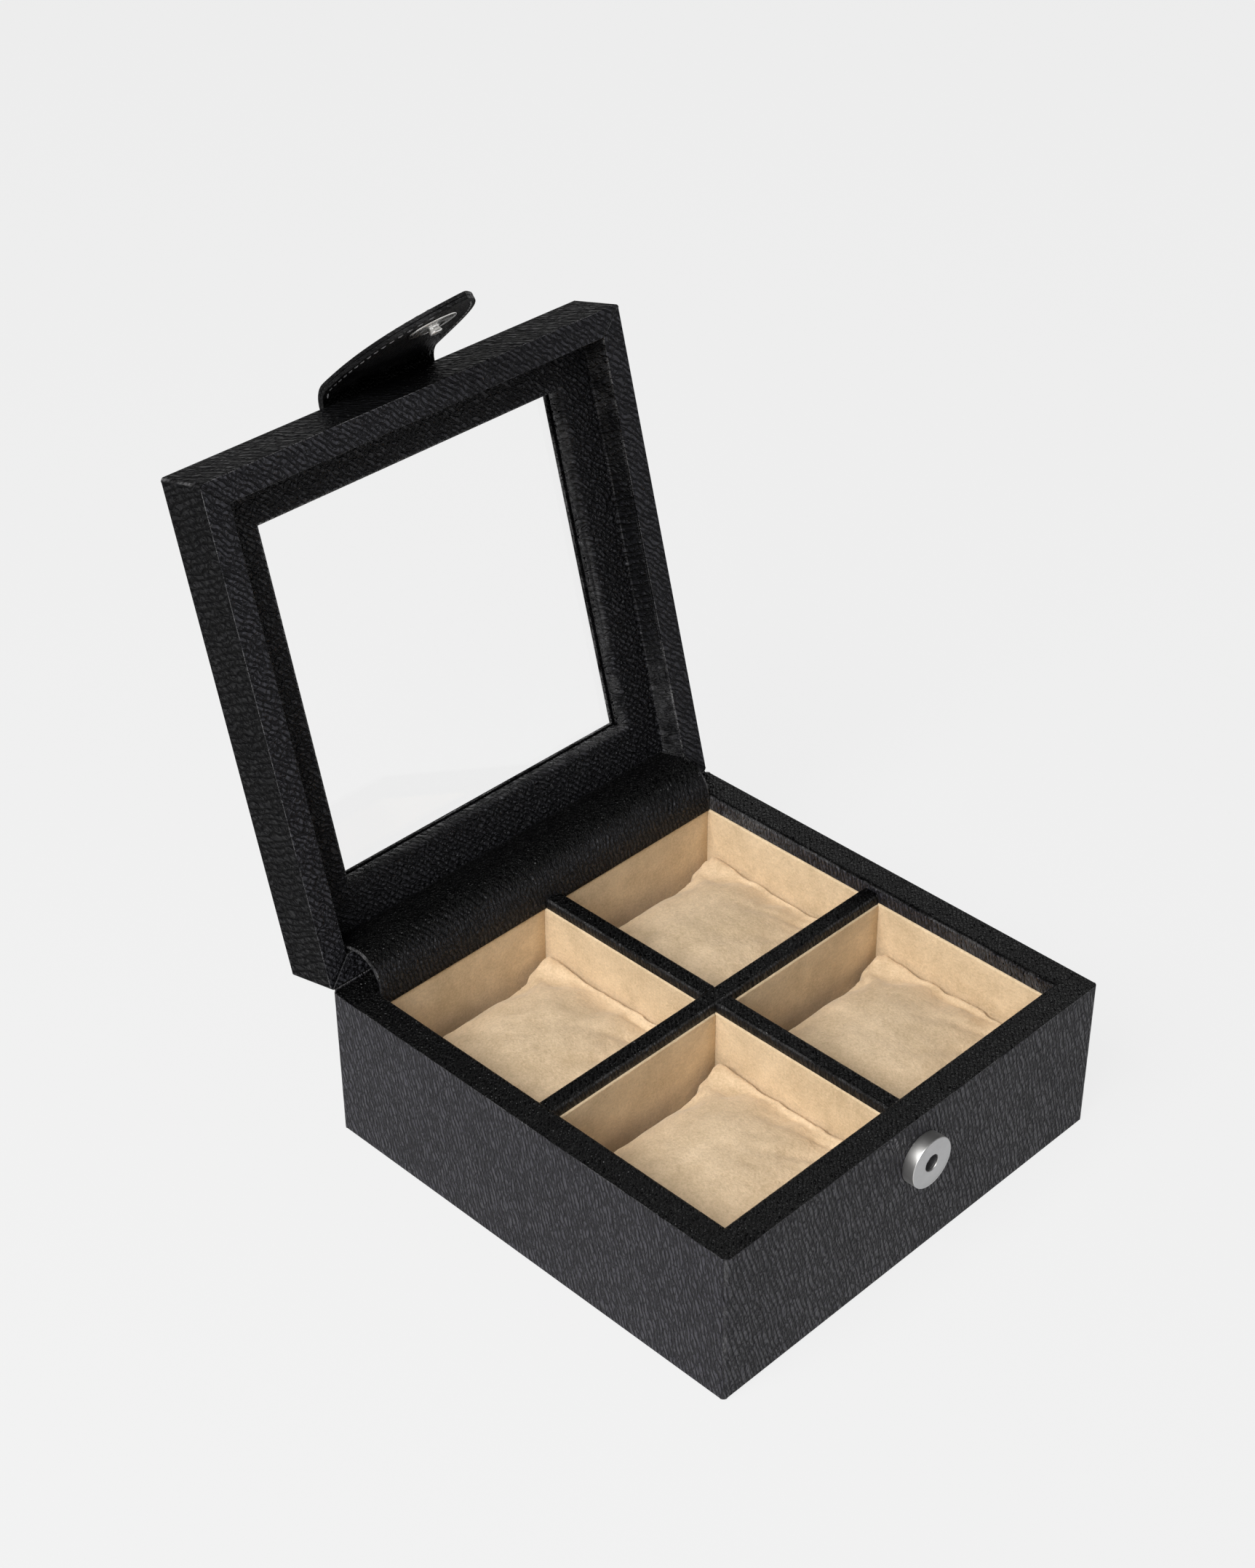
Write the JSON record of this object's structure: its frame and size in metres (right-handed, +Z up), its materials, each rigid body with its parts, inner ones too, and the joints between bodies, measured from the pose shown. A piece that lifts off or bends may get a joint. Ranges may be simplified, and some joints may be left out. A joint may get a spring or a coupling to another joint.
{
  "type": "watch box",
  "caption": "Square leather-covered watch box with cushions in divided, suede-lined compartments, a hinged lid with a clear window, and a snap tab. Shown open.",
  "frame": {"origin": "centre of the base's underside, where the box stands on the table", "axes": "+X to the right as seen from the front, +Y to the rear (the hinge side), +Z up"},
  "size_m": [0.175, 0.2434, 0.2661],
  "materials": {
    "leather_black": "grained black imitation leather, satin",
    "suede_beige": "beige velvety suede cloth, matt",
    "board": "plain fibreboard",
    "nickel": "satin nickel plate",
    "magnet": "pressed magnet",
    "glass": "clear, polished",
    "felt": "black felt, matt",
    "foam": "soft foam wadding",
    "thread": "dark grey thread"
  },
  "bodies": {
    "base": {"base_felt": "felt", "base_floor_board": "board", "base_front_board": "board", "base_rear_board": "board", "base_left_board": "board", "base_right_board": "board", "base_cover": "leather_black", "long_divider": "board", "cross_divider": "board", "divider_cover": "leather_black", "liner_front_left": "suede_beige", "liner_front_right": "suede_beige", "liner_rear_left": "suede_beige", "liner_rear_right": "suede_beige", "snap_socket_cup": "nickel", "snap_magnet": "magnet", "snap_socket_plate": "nickel", "snap_socket_washer": "nickel", "hinge_base_leaves": "nickel", "hinge_pins": "nickel", "hinge_base_screws": "nickel", "hinge_strip": "leather_black"},
    "lid": {"hinge_lid_leaves": "nickel", "hinge_lid_screws": "nickel", "lid_front_rail": "board", "lid_rear_rail": "board", "lid_left_rail": "board", "lid_right_rail": "board", "lid_outer_frame": "board", "lid_inner_frame": "board", "window_glass": "glass", "lid_cover": "leather_black", "lid_lining": "leather_black", "tab_root": "leather_black"},
    "tab": {"tab_outer_leather": "leather_black", "tab_lining_leather": "leather_black", "tab_stitching": "thread", "tab_snap_plate": "nickel", "tab_snap_stud": "nickel", "tab_snap_washer": "nickel"},
    "cushion_front_left_body": {"cushion_front_left": "suede_beige", "filling_front_left": "foam"},
    "cushion_front_right_body": {"cushion_front_right": "suede_beige", "filling_front_right": "foam"},
    "cushion_rear_left_body": {"cushion_rear_left": "suede_beige", "filling_rear_left": "foam"},
    "cushion_rear_right_body": {"cushion_rear_right": "suede_beige", "filling_rear_right": "foam"}
  },
  "joints": [
    {"name": "lid_hinge", "type": "hinge", "parent": "base", "child": "lid", "pos_m": [0, 0.0865, 0.0582], "axis": [1, 0, 0], "range_deg": [0, 104.4], "deforming": ["hinge_strip"]},
    {"name": "tab_flex", "type": "hinge", "parent": "lid", "child": "tab", "pos_m": [0, 0.14954, 0.22414], "axis": [1, 0, 0], "range_deg": [-60, 25.6], "stiffness_Nm_per_rad": 0.15, "deforming": ["tab_root"]},
    {"name": "cushion_front_left_lift", "type": "slide", "parent": "base", "child": "cushion_front_left_body", "axis": [0, 0, -1], "range_m": [-0.06, 0]},
    {"name": "cushion_front_right_lift", "type": "slide", "parent": "base", "child": "cushion_front_right_body", "axis": [0, 0, -1], "range_m": [-0.06, 0]},
    {"name": "cushion_rear_left_lift", "type": "slide", "parent": "base", "child": "cushion_rear_left_body", "axis": [0, 0, -1], "range_m": [-0.06, 0]},
    {"name": "cushion_rear_right_lift", "type": "slide", "parent": "base", "child": "cushion_rear_right_body", "axis": [0, 0, -1], "range_m": [-0.06, 0]}
  ]
}
